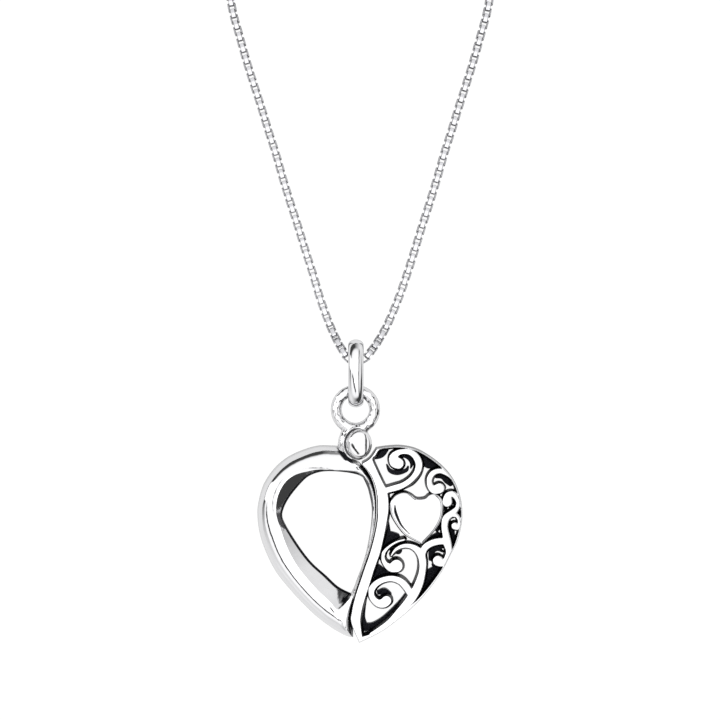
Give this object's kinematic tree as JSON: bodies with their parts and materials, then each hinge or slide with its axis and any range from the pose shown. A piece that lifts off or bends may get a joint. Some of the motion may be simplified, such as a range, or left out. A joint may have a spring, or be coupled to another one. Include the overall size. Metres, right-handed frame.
{
  "type": "heart pendant necklace",
  "caption": "Silver heart pendant of a polished open half and a scroll openwork half that pivot at the top, on a fine box chain.",
  "frame": {"origin": "on the resting surface, under the middle of the pendant with its jump ring", "axes": "+Z out of the pendant's front, +Y from the heart's point to the jump ring, +X to the right seen from the front"},
  "size_m": [0.0296, 0.0934, 0.0041],
  "materials": {
    "polished_silver": "mirror-polished silver",
    "oxidised_silver": "polished silver with blackened recesses",
    "chain_silver": "bright rhodium-plated silver",
    "spring_steel": "fine drawn steel"
  },
  "bodies": {
    "necklace": {"jump_ring": "polished_silver", "chain_run": "chain_silver", "chain_coil": "chain_silver", "chain_tail_left": "chain_silver", "chain_tail_right": "chain_silver", "clasp_ring": "chain_silver", "clasp_eye": "chain_silver", "tag_ring": "chain_silver"},
    "pendant": {"polished_half": "polished_silver", "bail": "polished_silver", "pivot_pin": "spring_steel", "pivot_ball": "polished_silver"},
    "openwork": {"openwork_rim": "oxidised_silver", "scroll_top": "oxidised_silver", "scroll_shoulder": "oxidised_silver", "scroll_middle": "oxidised_silver", "scroll_vine": "oxidised_silver", "mini_heart": "polished_silver", "pivot_eye": "oxidised_silver"},
    "gate": {"clasp_gate": "spring_steel"}
  },
  "joints": [
    {"name": "pendant_swing", "type": "hinge", "parent": "necklace", "child": "pendant", "pos_m": [-0.0005, 0.01118, 0.002], "axis": [-1, 0, 0], "range_deg": [0, 70]},
    {"name": "halves_pivot", "type": "hinge", "parent": "pendant", "child": "openwork", "pos_m": [-0.00007, 0.00535, 0], "axis": [0, 0, 1], "range_deg": [0, 45]},
    {"name": "clasp_slide", "type": "hinge", "parent": "necklace", "child": "gate", "pos_m": [0.00057, 0.0742, 0.00135], "axis": [0, 0, -1], "range_deg": [0, 58], "stiffness_Nm_per_rad": 0.00002}
  ]
}
